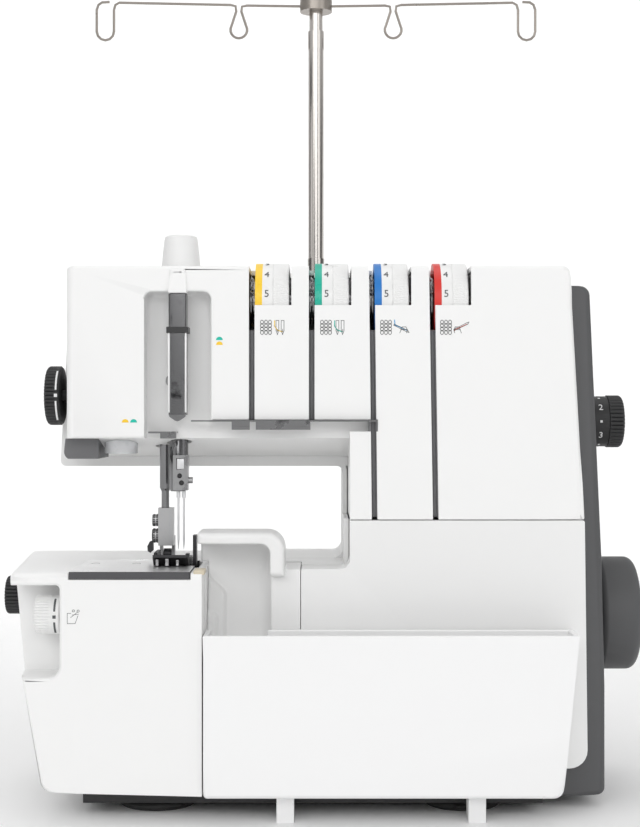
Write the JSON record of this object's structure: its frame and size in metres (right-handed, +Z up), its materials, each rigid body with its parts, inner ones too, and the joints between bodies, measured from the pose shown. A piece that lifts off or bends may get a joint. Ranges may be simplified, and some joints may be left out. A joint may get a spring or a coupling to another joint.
{
  "type": "serger overlock machine",
  "caption": "Domestic overlock sewing machine with colour-ringed tension dials, looper door, waste bin, left free-standing bed and a telescopic thread mast over a rear spool tray",
  "frame": {"origin": "on the table, at the middle of the bottom of the machine's bounding box", "axes": "+Z up, +X to the operator's right, -Y towards the operator"},
  "size_m": [0.3364, 0.27, 0.4578],
  "materials": {
    "white": "smooth moulded plastic",
    "dark": "fine moulded grain",
    "black": "fine moulded grain",
    "rubber": "soft matt rubber",
    "steel": "ground and polished",
    "sheet": "bright plated sheet",
    "cast": "die cast",
    "bronze": "sintered bush",
    "mast": "drawn tube",
    "yellow": "moulded colour",
    "green": "moulded colour",
    "blue": "moulded colour",
    "red": "moulded colour",
    "lens": "clear moulded lens",
    "grey": "satin paint"
  },
  "bodies": {
    "body": {"base_plate": "black", "rubber_feet": "rubber", "main_frame": "cast", "left_cover": "white", "front_cover": "white", "rear_cover": "white", "right_cover": "dark", "waste_chute": "white", "bed_infill": "white", "needle_bar_cap": "white", "lamp_cover": "dark", "lamp_lens": "lens", "take_up_channel": "sheet", "channel_band": "black", "thread_guide_rail": "sheet", "needle_thread_guide": "sheet", "thread_channels": "grey", "tension_bracket": "sheet", "tension_spindles": "steel", "tension_discs": "sheet", "main_bearings": "bronze", "motor": "grey", "drive_belt": "rubber", "needle_plate": "steel", "lower_knife": "steel", "spool_tray": "white", "spool_holders": "white", "mast_lower": "mast", "cover_screws": "steel"},
    "drive": {"handwheel": "dark", "main_shaft": "steel"},
    "rotor": {"motor_pulley": "cast"},
    "needle_unit": {"needle_bar": "steel", "needle_clamp": "steel", "needles": "steel"},
    "presser_unit": {"presser_bar": "steel", "foot_shank": "steel"},
    "foot": {"presser_foot": "steel"},
    "lifter": {"presser_lifter": "white"},
    "feed": {"feed_dogs": "steel"},
    "knife": {"upper_knife": "steel"},
    "looper_up": {"upper_looper": "steel"},
    "looper_down": {"lower_looper": "steel"},
    "tension_1": {"tension_dial_1": "white", "dial_ring_yellow": "yellow"},
    "tension_2": {"tension_dial_2": "white", "dial_ring_green": "green"},
    "tension_3": {"tension_dial_3": "white", "dial_ring_blue": "blue"},
    "tension_4": {"tension_dial_4": "white", "dial_ring_red": "red"},
    "length_dial": {"stitch_length_dial": "black"},
    "force_dial": {"pressure_dial": "black"},
    "width_dial": {"cutting_width_dial": "white"},
    "knife_knob": {"blade_knob": "black"},
    "door": {"looper_door": "white"},
    "bin": {"waste_bin": "white"},
    "mast": {"mast_upper": "mast", "thread_guide": "mast"},
    "switch": {"power_switch": "black"}
  },
  "joints": [
    {"name": "handwheel_spin", "type": "hinge", "parent": "body", "child": "drive", "pos_m": [0, -0.05, 0.0935], "axis": [1, 0, 0], "continuous": true},
    {"name": "motor_spin", "type": "hinge", "parent": "body", "child": "rotor", "pos_m": [0.124, -0.0135, 0.046], "axis": [1, 0, 0], "continuous": true},
    {"name": "needle_bar_slide", "type": "slide", "parent": "body", "child": "needle_unit", "axis": [0, 0, -1], "range_m": [0, 0.026]},
    {"name": "upper_looper_swing", "type": "hinge", "parent": "body", "child": "looper_up", "pos_m": [-0.046, -0.088, 0.06], "axis": [0, -1, 0], "range_deg": [0, 6]},
    {"name": "lower_looper_swing", "type": "hinge", "parent": "body", "child": "looper_down", "pos_m": [-0.098, -0.088, 0.058], "axis": [0, -1, 0], "range_deg": [0, 6]},
    {"name": "upper_knife_slide", "type": "slide", "parent": "body", "child": "knife", "axis": [0, 0, -1], "range_m": [0, 0.0065]},
    {"name": "feed_dog_slide", "type": "slide", "parent": "body", "child": "feed", "axis": [0, 1, 0], "range_m": [0, 0.0026]},
    {"name": "presser_lifter_turn", "type": "hinge", "parent": "body", "child": "lifter", "pos_m": [-0.085, -0.014, 0.222], "axis": [1, 0, 0], "range_deg": [0, 35]},
    {"name": "presser_bar_slide", "type": "slide", "parent": "body", "child": "presser_unit", "axis": [0, 0, 1], "range_m": [0, 0.005]},
    {"name": "presser_foot_pivot", "type": "hinge", "parent": "presser_unit", "child": "foot", "pos_m": [-0.0805, -0.07, 0.1269], "axis": [-1, 0, 0], "range_deg": [0, 7]},
    {"name": "tension_dial_1_turn", "type": "hinge", "parent": "body", "child": "tension_1", "pos_m": [-0.024, -0.089, 0.2573], "axis": [1, 0, 0], "range_deg": [-128, 160]},
    {"name": "tension_dial_2_turn", "type": "hinge", "parent": "body", "child": "tension_2", "pos_m": [0.006, -0.089, 0.2573], "axis": [1, 0, 0], "range_deg": [-128, 160]},
    {"name": "tension_dial_3_turn", "type": "hinge", "parent": "body", "child": "tension_3", "pos_m": [0.036, -0.089, 0.2573], "axis": [1, 0, 0], "range_deg": [-128, 160]},
    {"name": "tension_dial_4_turn", "type": "hinge", "parent": "body", "child": "tension_4", "pos_m": [0.066, -0.089, 0.2573], "axis": [1, 0, 0], "range_deg": [-128, 160]},
    {"name": "stitch_length_turn", "type": "hinge", "parent": "body", "child": "length_dial", "pos_m": [0.152, -0.05, 0.1963], "axis": [1, 0, 0], "range_deg": [-99, 99]},
    {"name": "foot_pressure_turn", "type": "hinge", "parent": "body", "child": "force_dial", "pos_m": [-0.14, -0.068, 0.2099], "axis": [1, 0, 0], "range_deg": [-170, 170]},
    {"name": "cutting_width_turn", "type": "hinge", "parent": "body", "child": "width_dial", "pos_m": [-0.134, -0.118, 0.101], "axis": [1, 0, 0], "range_deg": [-120, 120]},
    {"name": "knife_release_turn", "type": "hinge", "parent": "body", "child": "knife_knob", "pos_m": [-0.161, -0.05, 0.103], "axis": [1, 0, 0], "range_deg": [0, 90]},
    {"name": "looper_door_hinge", "type": "hinge", "parent": "body", "child": "door", "pos_m": [0.06, -0.098, 0.024], "axis": [1, 0, 0], "range_deg": [0, 85]},
    {"name": "waste_bin_slide", "type": "slide", "parent": "body", "child": "bin", "axis": [0, -1, 0], "range_m": [0, 0.2]},
    {"name": "mast_slide", "type": "slide", "parent": "body", "child": "mast", "axis": [0, 0, -1], "range_m": [0, 0.08]},
    {"name": "power_switch_rock", "type": "hinge", "parent": "body", "child": "switch", "pos_m": [0.139, -0.022, 0.062], "axis": [0, 1, 0], "range_deg": [-4, 4]}
  ],
  "couplings": [
    {"joint": "motor_spin", "follows": "handwheel_spin", "ratio": 3},
    {"joint": "upper_looper_swing", "follows": "needle_bar_slide", "rad_per_m": 3.9},
    {"joint": "lower_looper_swing", "follows": "needle_bar_slide", "rad_per_m": 3.9},
    {"joint": "upper_knife_slide", "follows": "needle_bar_slide", "ratio": 0.24},
    {"joint": "feed_dog_slide", "follows": "needle_bar_slide", "ratio": 0.098},
    {"joint": "presser_lifter_turn", "follows": "presser_bar_slide", "rad_per_m": 120},
    {"joint": "waste_bin_slide", "follows": "looper_door_hinge", "m_per_rad": 0.13}
  ]
}
